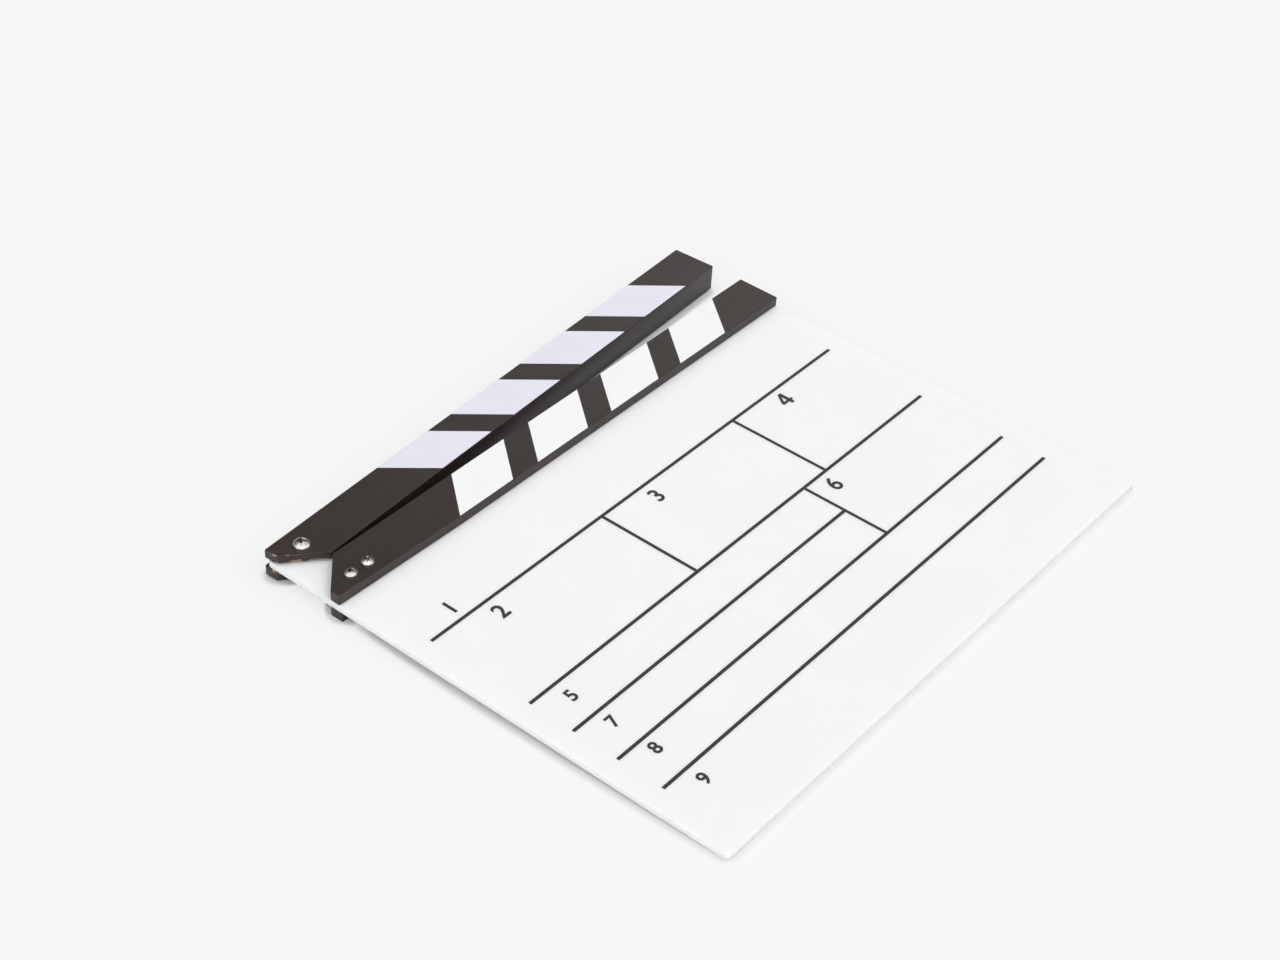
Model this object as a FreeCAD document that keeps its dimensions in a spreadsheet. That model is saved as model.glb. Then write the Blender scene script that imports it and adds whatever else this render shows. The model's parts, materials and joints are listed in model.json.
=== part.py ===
import FreeCAD
import Part
import Sketcher
import os

# Clapperboard: a white slate held between two wooden strips, and a slotted clapper stick that swings
# on a screw through a tab of the slate.
#
# Frame: +X runs along the sticks from the hinge end to the tip, +Y from the slate towards the clapper,
# +Z out of the written face. The origin lies on the fixed stick's back face, in the middle of the
# slate's width and of the stick's. Lengths are millimetres, angles degrees.

STRIPE_COUNT = 4

# Driving dimensions: alias, value, meaning.
SIZES = [
    ("slate_width", "298.5", "slate, left edge to right edge"),
    ("slate_thickness", "3", "acrylic sheet"),
    ("slate_below_stick", "200.4", "slate's bottom edge to the fixed stick's lower edge"),
    ("slate_top_setback", "1", "slate's top edge, below the fixed stick's upper edge"),
    ("slate_corner_radius", "2", "small corners of the slate"),
    ("slate_edge_chamfer", "0.2", "broken edge all round the slate"),
    ("tab_reach", "16", "hinge tab's right edge, from the pivot axis"),
    ("tab_rise", "8", "hinge tab's top edge, above the pivot axis"),
    ("tab_corner_radius", "10", "hinge tab's top right corner"),
    ("stick_width", "22.4", "both sticks, lower edge to upper edge"),
    ("strip_thickness", "5", "each strip of the fixed stick"),
    ("stick_inset_left", "0.3", "sticks' hinge ends, from the slate's left edge"),
    ("stick_inset_right", "0.2", "fixed stick's tip, from the slate's right edge"),
    ("clapper_inset_right", "0.8", "closed clapper's tip, from the slate's right edge"),
    ("stick_blunt_end", "6.5", "square part of the sticks' hinge ends"),
    ("stick_mitre_run", "17.2", "length of the mitre along the sticks"),
    ("stick_heel_radius", "0.6", "sanded corners of the sticks' square hinge ends"),
    ("heel_rise", "1.5", "front strip's lower edge at the hinge end, above its straight part"),
    ("heel_run", "70", "part of the front strip's lower edge that rises towards the hinge end"),
    ("stick_edge_radius", "0.25", "sanded edges of the sticks"),
    ("stick_gap", "0.8", "between the sticks when they are parallel"),
    ("rest_opening", "3.25", "clapper's angle to the fixed stick at rest"),
    ("bond_thickness", "0.15", "bonding tape between strip and slate"),
    ("bond_inset", "1", "bonding tape, in from the strip's edges"),
    ("pivot_from_left", "12.5", "pivot axis, from the slate's left edge"),
    ("pivot_above_edge", "12.4", "pivot axis, above the clapper's lower edge"),
    ("pivot_diameter", "4", "pivot screw's shank"),
    ("pivot_clearance", "0.06", "radial, round the pivot screw's shank"),
    ("pivot_head_diameter", "7.6", "pivot screw's pan head"),
    ("pivot_head_height", "3.1", "pivot screw's pan head"),
    ("pivot_head_side", "1", "upright part of the pan head"),
    ("pivot_cross_diameter", "4.4", "cross recess at the top of the head"),
    ("pivot_cross_depth", "2", "cross recess, below the top of the head"),
    ("pivot_cross_wing", "0.9", "width of a wing of the cross recess"),
    ("pivot_cross_turn", "28", "how far the cross is turned, from the clapper's length"),
    ("pivot_nut_width", "7", "thin lock nut, across its flats"),
    ("pivot_nut_thickness", "2.2", "thin lock nut"),
    ("pivot_washer_diameter", "9", "washer under the lock nut"),
    ("pivot_washer_thickness", "0.8", "washer under the lock nut"),
    ("spacer_diameter", "8", "fibre spacers between cheeks and slate"),
    ("front_spacer_thickness", "1.3", "fibre spacer between front cheek and slate"),
    ("rear_spacer_thickness", "0.45", "fibre spacer between rear cheek and slate"),
    ("spacer_play", "0.05", "running gap between a spacer and the slate"),
    ("slot_end_clearance", "2", "end of the clapper's slot, past the tab's right edge"),
    ("screw_from_left", "13.5", "first strip screw, from the slate's left edge"),
    ("screw_spacing", "10", "between the strip screws"),
    ("screw_above_edge", "8", "strip screws, above the fixed stick's lower edge"),
    ("screw_diameter", "3", "strip screw's shank"),
    ("screw_clearance", "0.1", "radial, round a strip screw's shank"),
    ("screw_head_diameter", "5.8", "strip screw's pan head"),
    ("screw_head_height", "2.4", "strip screw's pan head"),
    ("screw_head_side", "0.8", "upright part of the pan head"),
    ("screw_cross_diameter", "3.6", "cross recess at the top of the head"),
    ("screw_cross_depth", "1.5", "cross recess, below the top of the head"),
    ("screw_cross_wing", "0.75", "width of a wing of the cross recess"),
    ("left_cross_turn", "12", "how far the left screw's cross is turned"),
    ("right_cross_turn", "55", "how far the right screw's cross is turned"),
    ("screw_nut_width", "5.5", "strip screw's nut, across its flats"),
    ("screw_nut_thickness", "1.8", "strip screw's nut"),
    ("screw_tip_chamfer", "0.4", "end of every screw"),
    ("screw_tip_setback", "0.3", "screw ends, in from the sticks' back face"),
    ("cross_tip", "1.1", "width of a cross recess at its bottom"),
    ("thread_clearance", "0.03", "radial, between a screw and its nut"),
    ("nut_sink", "0.4", "nuts' outer faces, in from the sticks' back face"),
    ("nut_room", "0.4", "radial, round a nut or washer in its recess"),
    ("stripe_start", "89.85", "first white stripe at the clapping edge, from the slate's left edge"),
    ("lower_stripe_pitch", "50.5", "from one white stripe of the fixed stick to the next"),
    ("upper_stripe_pitch", "50.25", "from one white stripe of the clapper to the next"),
    ("stripe_width", "33.9", "white stripe, along the stick"),
    ("stripe_lean", "18.5", "shift of a stripe across the stick's whole width"),
    ("stripe_thickness", "0.1", "white film"),
    ("rule_margin_left", "10.5", "printed rules, from the slate's left edge"),
    ("rule_margin_right", "12", "printed rules, from the slate's right edge"),
    ("rule_below_stick", "40.4", "top rule, below the fixed stick's lower edge"),
    ("rule_width", "1.6", "printed line"),
    ("ink_thickness", "0.1", "printed line"),
    ("first_row_height", "53", "top rule to second rule"),
    ("row_height", "22.5", "each of the lower rows"),
    ("first_divider", "117.5", "top row's first divider, from the slate's left edge"),
    ("second_divider", "210.5", "top row's second divider, from the slate's left edge"),
    ("lower_divider", "193.5", "lower rows' divider, from the slate's left edge"),
]

# Places worked out from the sizes: alias, formula, meaning.
PLACES = [
    ("left_edge", "-size.slate_width / 2", "slate's left edge"),
    ("bottom_edge", "-size.stick_width / 2 - size.slate_below_stick", "slate's bottom edge"),
    ("slate_back", "size.strip_thickness + size.bond_thickness", "slate's back face"),
    ("slate_front", "slate_back + size.slate_thickness", "slate's written face"),
    ("front_strip", "slate_front + size.bond_thickness", "front strip's inner face"),
    ("stick_front", "front_strip + size.strip_thickness", "sticks' front face"),
    ("slate_top", "size.slate_below_stick + size.stick_width - size.slate_top_setback",
     "slate's top edge, from its bottom edge"),
    ("pivot_height", "size.slate_below_stick + size.stick_width + size.stick_gap + size.pivot_above_edge",
     "pivot axis, from the slate's bottom edge"),
    ("tab_right", "size.pivot_from_left + size.tab_reach", "tab's right edge, from the slate's left edge"),
    ("tab_top", "pivot_height + size.tab_rise", "tab's top edge, from the slate's bottom edge"),
    ("pivot_x", "left_edge + size.pivot_from_left", "pivot axis"),
    ("pivot_y", "bottom_edge + pivot_height", "pivot axis"),
    ("strip_length", "size.slate_width - size.stick_inset_left - size.stick_inset_right", "fixed stick"),
    ("clapper_left", "size.stick_inset_left - size.pivot_from_left", "clapper's hinge end, from the pivot"),
    ("clapper_right", "size.slate_width - size.clapper_inset_right - size.pivot_from_left",
     "clapper's tip, from the pivot"),
    ("clapper_low", "-size.pivot_above_edge", "clapper's lower edge, from the pivot"),
    ("clapper_high", "clapper_low + size.stick_width", "clapper's upper edge, from the pivot"),
    ("slot_low", "slate_back - size.spacer_play - size.rear_spacer_thickness",
     "rear face of the clapper's slot"),
    ("slot_high", "slate_front + size.spacer_play + size.front_spacer_thickness",
     "front face of the clapper's slot"),
    ("slot_end", "size.tab_reach + size.slot_end_clearance", "end of the slot, from the pivot"),
    ("screw_length", "stick_front - size.screw_tip_setback", "screws, under the head"),
    ("pivot_hole", "size.pivot_diameter + 2 * size.pivot_clearance", "diameter round the pivot screw"),
    ("screw_hole", "size.screw_diameter + 2 * size.screw_clearance", "diameter round a strip screw"),
    ("pivot_washer_back", "size.nut_sink + size.pivot_nut_thickness", "washer's back face"),
    ("pivot_recess_depth", "pivot_washer_back + size.pivot_washer_thickness", "recess in the rear cheek"),
    ("screw_recess_depth", "size.nut_sink + size.screw_nut_thickness", "recess in the rear strip"),
    ("pivot_recess", "max(size.pivot_washer_diameter; size.pivot_nut_width / cos(30)) + 2 * size.nut_room",
     "diameter of the recess in the rear cheek"),
    ("screw_recess", "size.screw_nut_width / cos(30) + 2 * size.nut_room",
     "diameter of a recess in the rear strip"),
    ("rule_top", "size.slate_below_stick - size.rule_below_stick", "top rule, from the slate's bottom edge"),
    ("rule_right", "size.slate_width - size.rule_margin_right", "right end of the long rules"),
]

doc = FreeCAD.newDocument("Clapperboard")


def fill_sheet(name, rows, lead=""):
    sheet = doc.addObject("Spreadsheet::Sheet", name)
    for row, (alias, content, meaning) in enumerate(rows, start=1):
        sheet.set(f"A{row}", meaning)
        sheet.set(f"B{row}", lead + content)
        sheet.setAlias(f"B{row}", alias)
        doc.recompute()
    return sheet


fill_sheet("size", SIZES)
places = fill_sheet("place", PLACES, "=")


def number(expression):
    """Value of an expression on the two sheets."""
    return float(places.evalExpression(expression))


# Sketch helpers. Points and sizes are expressions, so every sketch follows the sheets.

def new_sketch(body, name, plane="XY_Plane"):
    sketch = body.newObject("Sketcher::SketchObject", name)
    support = next(item for item in body.Origin.OriginFeatures if item.Role == plane)
    sketch.AttachmentSupport = [(support, "")]
    sketch.MapMode = "FlatFace"
    return sketch


def pin_point(sketch, edge, end, point):
    """Hold one point of an edge at its x and y from the sketch's origin."""
    for axis, expression in zip("XY", point):
        if expression == "0":
            line = -2 if axis == "X" else -1
            sketch.addConstraint(Sketcher.Constraint("PointOnObject", edge, end, line))
            continue
        distance = Sketcher.Constraint("Distance" + axis, -1, 1, edge, end, number(expression))
        index = sketch.addConstraint(distance)
        sketch.setExpression(f"Constraints[{index}]", expression)


def add_polygon(sketch, points):
    corners = [FreeCAD.Vector(number(x), number(y), 0) for x, y in points]
    first = sketch.GeometryCount
    count = len(points)
    for i in range(count):
        sketch.addGeometry(Part.LineSegment(corners[i], corners[(i + 1) % count]), False)
    for i in range(count):
        following = first + (i + 1) % count
        sketch.addConstraint(Sketcher.Constraint("Coincident", first + i, 2, following, 1))
    for i in range(count):
        pin_point(sketch, first + i, 1, points[i])


def add_circle(sketch, centre, diameter):
    middle = FreeCAD.Vector(number(centre[0]), number(centre[1]), 0)
    axis = FreeCAD.Vector(0, 0, 1)
    edge = sketch.addGeometry(Part.Circle(middle, axis, number(diameter) / 2), False)
    index = sketch.addConstraint(Sketcher.Constraint("Diameter", edge, number(diameter)))
    sketch.setExpression(f"Constraints[{index}]", diameter)
    pin_point(sketch, edge, 3, centre)


# Body and feature helpers.

def new_body(label, x="0", y="0", z="0", angle="0"):
    body = doc.addObject("PartDesign::Body", label)
    body.Label = label
    body.Placement = FreeCAD.Placement(FreeCAD.Vector(0, 0, 0), FreeCAD.Rotation(FreeCAD.Vector(0, 0, 1), 0))
    body.setExpression("Placement.Base.x", x)
    body.setExpression("Placement.Base.y", y)
    body.setExpression("Placement.Base.z", z)
    body.setExpression("Placement.Rotation.Angle", angle)
    return body


def clapper_body(label, z="0", turn="0"):
    """Body whose origin is on the pivot axis and which swings with the clapper."""
    return new_body(label, "place.pivot_x", "place.pivot_y", z, f"size.rest_opening + {turn}")


def pad(body, sketch, height):
    feature = body.newObject("PartDesign::Pad", "Pad")
    feature.Profile = sketch
    feature.setExpression("Length", height)
    doc.recompute()
    return feature


def cut_through(body, sketch):
    """Pocket right through the body, on both sides of the sketch."""
    before = body.Shape.Volume
    feature = body.newObject("PartDesign::Pocket", "Cut")
    feature.Profile = sketch
    feature.SideType = "Symmetric"
    feature.Type = "ThroughAll"
    doc.recompute()
    assert body.Shape.Volume < before, f"{body.Label}: {sketch.Name} cuts nothing"


def cut_depth(body, sketch, depth, both_sides=False):
    """Pocket from the sketch's plane up into the body, or half the depth to each side of the plane."""
    before = body.Shape.Volume
    feature = body.newObject("PartDesign::Pocket", "Recess")
    feature.Profile = sketch
    feature.Type = "Length"
    feature.SideType = "Symmetric" if both_sides else "One side"
    feature.Reversed = not both_sides
    feature.setExpression("Length", depth)
    doc.recompute()
    assert body.Shape.Volume < before, f"{body.Label}: {sketch.Name} cuts nothing"


def drill(body, name, centres, diameter):
    sketch = new_sketch(body, name)
    for centre in centres:
        add_circle(sketch, centre, diameter)
    cut_through(body, sketch)


def counterbore(body, name, centres, diameter, depth):
    """Round recesses sunk into the body from its back face."""
    sketch = new_sketch(body, name)
    for centre in centres:
        add_circle(sketch, centre, diameter)
    cut_depth(body, sketch, depth)


def round_upright_edges(body, base, corners, radius):
    """Fillet the edges that stand at the given corners of the profile."""
    places_xy = [FreeCAD.Vector(number(x), number(y), 0) for x, y in corners]
    names = []
    for index, edge in enumerate(base.Shape.Edges, start=1):
        start, end = edge.Vertexes[0].Point, edge.Vertexes[-1].Point
        if abs(end.z - start.z) < 1e-6:
            continue
        foot = FreeCAD.Vector(start.x, start.y, 0)
        if any(foot.distanceToPoint(place) < 1e-4 for place in places_xy):
            names.append(f"Edge{index}")
    assert len(names) == len(corners), f"{body.Label}: found {len(names)} corners of {len(corners)}"
    feature = body.newObject("PartDesign::Fillet", "Corners")
    feature.Base = (base, names)
    feature.setExpression("Radius", radius)
    doc.recompute()
    return feature


def ease_all_edges(body, base, kind, parameter, size):
    feature = body.newObject(f"PartDesign::{kind}", "EasedEdges")
    feature.Base = (base, [])
    feature.UseAllEdges = True
    feature.setExpression(parameter, size)
    doc.recompute()


# The slate and its print.

SCREW_XS = ["size.screw_from_left", "size.screw_from_left + size.screw_spacing"]


def make_slate():
    body = new_body("slate_board", "place.left_edge", "place.bottom_edge", "place.slate_back")
    sketch = new_sketch(body, "Outline")
    inner_corner = ("place.tab_right", "place.slate_top")
    tab_corner = ("place.tab_right", "place.tab_top")
    small_corners = [("0", "0"), ("size.slate_width", "0"), ("size.slate_width", "place.slate_top"),
                     ("0", "place.tab_top")]
    add_polygon(sketch, small_corners[:3] + [inner_corner, tab_corner] + small_corners[3:])
    sheet = pad(body, sketch, "size.slate_thickness")
    rounded = round_upright_edges(body, sheet, small_corners + [inner_corner], "size.slate_corner_radius")
    rounded = round_upright_edges(body, rounded, [tab_corner], "size.tab_corner_radius")
    ease_all_edges(body, rounded, "Chamfer", "Size", "size.slate_edge_chamfer")
    drill(body, "PivotHole", [("size.pivot_from_left", "place.pivot_height")], "place.pivot_hole")
    screw_y = "size.slate_below_stick + size.screw_above_edge"
    drill(body, "ScrewHoles", [(x, screw_y) for x in SCREW_XS], "place.screw_hole")
    return body


def make_rules():
    """Printed grid: five long rules and three dividers, fused where they meet."""
    second_rule = "place.rule_top - size.first_row_height"
    rule_heights = ["place.rule_top", second_rule]
    rule_heights += [f"{second_rule} - {row} * size.row_height" for row in (1, 2, 3)]
    rule_ends = ["place.rule_right", "place.rule_right", "size.lower_divider", "place.rule_right",
                 "place.rule_right"]
    two_rows = "2 * size.row_height"
    dividers = [("size.first_divider", rule_heights[1], "size.first_row_height"),
                ("size.second_divider", rule_heights[1], "size.first_row_height"),
                ("size.lower_divider", rule_heights[3], two_rows)]
    half = "size.rule_width / 2"
    bars = []
    for right, height in zip(rule_ends, rule_heights):
        length = f"{right} - size.rule_margin_left"
        bars.append(("size.rule_margin_left", f"{height} - {half}", length, "size.rule_width"))
    for across, foot, height in dividers:
        bars.append((f"{across} - {half}", foot, "size.rule_width", height))
    boxes = []
    for x, y, length, width in bars:
        box = doc.addObject("Part::Box", "RuleBar")
        box.setExpression("Length", length)
        box.setExpression("Width", width)
        box.setExpression("Height", "size.ink_thickness")
        box.setExpression("Placement.Base.x", f"place.left_edge + {x}")
        box.setExpression("Placement.Base.y", f"place.bottom_edge + {y}")
        box.setExpression("Placement.Base.z", "place.slate_front")
        boxes.append(box)
    grid = doc.addObject("Part::MultiFuse", "printed_rules")
    grid.Label = "printed_rules"
    grid.Shapes = boxes
    grid.Refine = True
    return grid


# The fixed stick: two strips, the tape that bonds them to the slate, and their screws.

STRIP_SCREWS = [(f"{x} - size.stick_inset_left", "size.screw_above_edge") for x in SCREW_XS]

# Points of the strips' lower edges, from the heel up to the straight part that runs on to the tip.
FRONT_EDGE = [("0", "size.heel_rise"), ("size.heel_run", "0")]
REAR_EDGE = [("0", "0")]


def strip_body(label, z):
    return new_body(label, "place.left_edge + size.stick_inset_left", "-size.stick_width / 2", z)


def make_strip(label, z, lower_edge):
    """Strip with a mitred hinge end."""
    body = strip_body(label, z)
    sketch = new_sketch(body, "Outline")
    blunt_corner = ("0", "size.stick_blunt_end")
    add_polygon(sketch, [blunt_corner] + lower_edge + [("place.strip_length", "0"),
                                                       ("place.strip_length", "size.stick_width"),
                                                       ("size.stick_mitre_run", "size.stick_width")])
    bar = pad(body, sketch, "size.strip_thickness")
    bar = round_upright_edges(body, bar, [blunt_corner, lower_edge[0]], "size.stick_heel_radius")
    ease_all_edges(body, bar, "Fillet", "Radius", "size.stick_edge_radius")
    drill(body, "ScrewHoles", STRIP_SCREWS, "place.screw_hole")
    return body


def make_rear_strip():
    body = make_strip("lower_stick_rear", "0", REAR_EDGE)
    counterbore(body, "NutRecesses", STRIP_SCREWS, "place.screw_recess", "place.screw_recess_depth")
    return body


def make_bond(label, z, strip_edge):
    """Tape inside the strip's outline, its mitred end drawn in twice as far along the stick."""
    body = strip_body(label, z)
    inset = "size.bond_inset"
    lower_edge = [(x, f"{y} + {inset}") for x, y in strip_edge]
    lower_edge[0] = (inset, lower_edge[0][1])
    right = f"place.strip_length - {inset}"
    top = f"size.stick_width - {inset}"
    mitre_rise = "(size.stick_width - size.stick_blunt_end)"
    mitre_foot = f"size.stick_blunt_end - {inset} * {mitre_rise} / size.stick_mitre_run"
    mitre_head = f"2 * {inset} + size.stick_mitre_run * (1 - {inset} / {mitre_rise})"
    sketch = new_sketch(body, "Outline")
    add_polygon(sketch, lower_edge + [(right, inset), (right, top), (mitre_head, top),
                                      (inset, mitre_foot)])
    pad(body, sketch, "size.bond_thickness")
    drill(body, "ScrewHoles", STRIP_SCREWS, "place.screw_hole")
    return body


# The clapper.

def make_clapper():
    body = clapper_body("upper_stick")
    left, right, low, high = ("place.clapper_left", "place.clapper_right", "place.clapper_low",
                              "place.clapper_high")
    sketch = new_sketch(body, "Outline")
    heel = [(left, high), (left, f"{high} - size.stick_blunt_end")]
    add_polygon(sketch, heel + [(f"{left} + size.stick_mitre_run", low), (right, low), (right, high)])
    bar = pad(body, sketch, "place.stick_front")
    bar = round_upright_edges(body, bar, heel, "size.stick_heel_radius")
    ease_all_edges(body, bar, "Fillet", "Radius", "size.stick_edge_radius")
    slot = new_sketch(body, "Slot", "XZ_Plane")
    slot_open = f"{left} - size.slot_end_clearance"
    add_polygon(slot, [(slot_open, "place.slot_low"), ("place.slot_end", "place.slot_low"),
                       ("place.slot_end", "place.slot_high"), (slot_open, "place.slot_high")])
    cut_through(body, slot)
    drill(body, "PivotHole", [("0", "0")], "place.pivot_hole")
    counterbore(body, "NutRecess", [("0", "0")], "place.pivot_recess", "place.pivot_recess_depth")
    return body


# White stripes. They lie on the flat part of the sticks' front faces and lean away from the hinge
# towards the clapping edge, so that the two sticks' stripes meet in arrows.

def add_stripe(body, clap_start, clap_edge, outward):
    """One stripe: outward is 1 where the stick lies above its clapping edge and -1 where it lies below."""
    eased = "size.stick_edge_radius"
    far = f"(size.stick_width - {eased})"
    near_x = f"{clap_start} - size.stripe_lean * {eased} / size.stick_width"
    far_x = f"{clap_start} - size.stripe_lean * {far} / size.stick_width"
    near_y = f"{clap_edge} + {outward} * {eased}"
    far_y = f"{clap_edge} + {outward} * {far}"
    sketch = new_sketch(body, "Outline")
    add_polygon(sketch, [(far_x, far_y), (f"{far_x} + size.stripe_width", far_y),
                         (f"{near_x} + size.stripe_width", near_y), (near_x, near_y)])
    pad(body, sketch, "size.stripe_thickness")


def make_stripes():
    bodies = []
    for i in range(STRIPE_COUNT):
        lower_start = f"size.stripe_start + {i} * size.lower_stripe_pitch - size.stick_inset_left"
        lower = strip_body(f"lower_stripe_{i + 1}", "place.stick_front")
        add_stripe(lower, lower_start, "size.stick_width", -1)
        upper_start = f"size.stripe_start + {i} * size.upper_stripe_pitch - size.pivot_from_left"
        upper = clapper_body(f"upper_stripe_{i + 1}", "place.stick_front")
        add_stripe(upper, upper_start, "place.clapper_low", 1)
        bodies += [lower, upper]
    return bodies


# Screws, nuts, washers and spacers.

def turn_screw(body, family):
    """Pan-head screw with a cross recess. The head's seat is at the body's origin."""
    radius = f"size.{family}_diameter / 2"
    head_radius = f"size.{family}_head_diameter / 2"
    head_top = f"size.{family}_head_height"
    head_side = f"size.{family}_head_side"
    tip = "-place.screw_length"
    profile = [("0", head_top), ("0", tip), (f"{radius} - size.screw_tip_chamfer", tip),
               (radius, f"{tip} + size.screw_tip_chamfer"), (radius, "0"), (head_radius, "0"),
               (head_radius, head_side)]
    sketch = new_sketch(body, "HalfSection", "XZ_Plane")
    corners = [FreeCAD.Vector(number(x), number(y), 0) for x, y in profile]
    last = len(profile) - 1
    for i in range(last):
        sketch.addGeometry(Part.LineSegment(corners[i], corners[i + 1]), False)
    for i in range(last - 1):
        sketch.addConstraint(Sketcher.Constraint("Coincident", i, 2, i + 1, 1))
    for i in range(last):
        pin_point(sketch, i, 1, profile[i])
    pin_point(sketch, last - 1, 2, profile[last])
    add_dome(sketch, corners[last], corners[0], last)
    turned = body.newObject("PartDesign::Revolution", "Turned")
    turned.Profile = sketch
    turned.ReferenceAxis = (sketch, ["V_Axis"])
    doc.recompute()
    for name, plane in (("CrossAlong", "XZ_Plane"), ("CrossOver", "YZ_Plane")):
        cut_cross(body, name, plane, family)


def add_dome(sketch, rim, crown, edge):
    """Arc from the head's rim to its crown, centred on the screw's axis."""
    rise = crown.y - rim.y
    radius = (rim.x ** 2 + rise ** 2) / (2 * rise)
    centre = FreeCAD.Vector(0, crown.y - radius, 0)
    dome = Part.Arc(rim, centre + (rim + crown - centre - centre).normalize() * radius, crown)
    sketch.addGeometry(dome, False)
    sketch.addConstraint(Sketcher.Constraint("Coincident", edge - 1, 2, edge, 1))
    sketch.addConstraint(Sketcher.Constraint("Coincident", edge, 2, 0, 1))
    sketch.addConstraint(Sketcher.Constraint("PointOnObject", edge, 3, -2))


def cut_cross(body, name, plane, family):
    """One bar of the cross: a wedge as wide as the recess at the head's top, narrowing to its bottom."""
    top = f"size.{family}_head_height"
    depth = f"size.{family}_cross_depth"
    half_bottom = "size.cross_tip / 2"
    half_above = f"(size.{family}_cross_diameter - {half_bottom})"
    above = f"{top} + {depth}"
    below = f"{top} - {depth}"
    sketch = new_sketch(body, name, plane)
    add_polygon(sketch, [(f"-{half_bottom}", below), (half_bottom, below), (half_above, above),
                         (f"-{half_above}", above)])
    cut_depth(body, sketch, f"size.{family}_cross_wing", both_sides=True)


def make_nut(body, family):
    """Hexagon nut, its outer corners turned off, bored to clear the screw."""
    width = f"size.{family}_nut_width"
    thickness = f"size.{family}_nut_thickness"
    prism = body.newObject("PartDesign::AdditivePrism", "Hexagon")
    prism.Polygon = 6
    prism.setExpression("Circumradius", f"{width} / 2 / cos(30)")
    prism.setExpression("Height", thickness)
    doc.recompute()
    before = body.Shape.Volume
    corner = f"{width} / cos(30)"
    fall = f"({corner} - {width} / 2) * tan(30)"
    bevel = new_sketch(body, "CornerBevel", "XZ_Plane")
    add_polygon(bevel, [(f"{width} / 2", "0"), (corner, "0"), (corner, fall)])
    groove = body.newObject("PartDesign::Groove", "TurnedCorners")
    groove.Profile = bevel
    groove.ReferenceAxis = (bevel, ["V_Axis"])
    doc.recompute()
    assert body.Shape.Volume < before, f"{body.Label}: corners not turned"
    drill(body, "Thread", [("0", "0")], f"size.{family}_diameter + 2 * size.thread_clearance")


def make_ring(label, z, diameter, thickness):
    """Flat washer round the pivot screw."""
    body = clapper_body(label, z)
    sketch = new_sketch(body, "Ring")
    add_circle(sketch, ("0", "0"), diameter)
    add_circle(sketch, ("0", "0"), "place.pivot_hole")
    pad(body, sketch, thickness)
    return body


def make_pivot():
    screw = clapper_body("pivot_screw", "place.stick_front", "size.pivot_cross_turn")
    turn_screw(screw, "pivot")
    nut = clapper_body("pivot_nut", "size.nut_sink")
    make_nut(nut, "pivot")
    washer = make_ring("pivot_washer", "place.pivot_washer_back", "size.pivot_washer_diameter",
                       "size.pivot_washer_thickness")
    rear = make_ring("pivot_spacer_rear", "place.slot_low", "size.spacer_diameter",
                     "size.rear_spacer_thickness")
    front = make_ring("pivot_spacer_front", "place.slate_front + size.spacer_play", "size.spacer_diameter",
                      "size.front_spacer_thickness")
    return [screw, nut, washer, rear, front]


def make_strip_screws():
    bodies = []
    screw_y = "size.screw_above_edge - size.stick_width / 2"
    for side, x in zip(("left", "right"), SCREW_XS):
        place_x = f"place.left_edge + {x}"
        screw = new_body(f"stick_screw_{side}", place_x, screw_y, "place.stick_front",
                         f"size.{side}_cross_turn")
        turn_screw(screw, "screw")
        nut = new_body(f"stick_nut_{side}", place_x, screw_y, "size.nut_sink")
        make_nut(nut, "screw")
        bodies += [screw, nut]
    return bodies


def check_objects(parts):
    doc.recompute()
    for item in doc.Objects:
        broken = {"Invalid", "Error"} & set(item.State)
        assert not broken, f"{item.Label}: {item.State}"
    for item in parts:
        assert not item.Shape.isNull() and item.Shape.isValid(), f"{item.Label}: bad shape"
        assert item.Shape.Solids, f"{item.Label}: no solid"


parts = [
    make_slate(),
    make_rules(),
    make_strip("lower_stick_front", "place.front_strip", FRONT_EDGE),
    make_rear_strip(),
    make_bond("bond_front", "place.slate_front", FRONT_EDGE),
    make_bond("bond_rear", "size.strip_thickness", REAR_EDGE),
    make_clapper(),
]
parts += make_stripes() + make_pivot() + make_strip_screws()
check_objects(parts)

os.makedirs("parts", exist_ok=True)
for part in parts:
    part.Shape.exportStep(f"parts/{part.Label}.step")
    box = part.Shape.BoundBox
    print(f"{part.Label}: {len(part.Shape.Solids)} solid(s), {part.Shape.Volume:.2f} mm3, "
          f"{box.XLength:.2f} x {box.YLength:.2f} x {box.ZLength:.2f}")
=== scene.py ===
"""Looks of the clapperboard: its finishes, wear, printed numerals, studio and camera.

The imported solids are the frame, in metres: +X runs along the sticks from the hinge to the tip, +Y from
the slate towards the clapper, +Z out of the written face.
"""

import json
import math

import bmesh
import bpy
from mathutils import Matrix, Quaternion, Vector, noise


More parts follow.
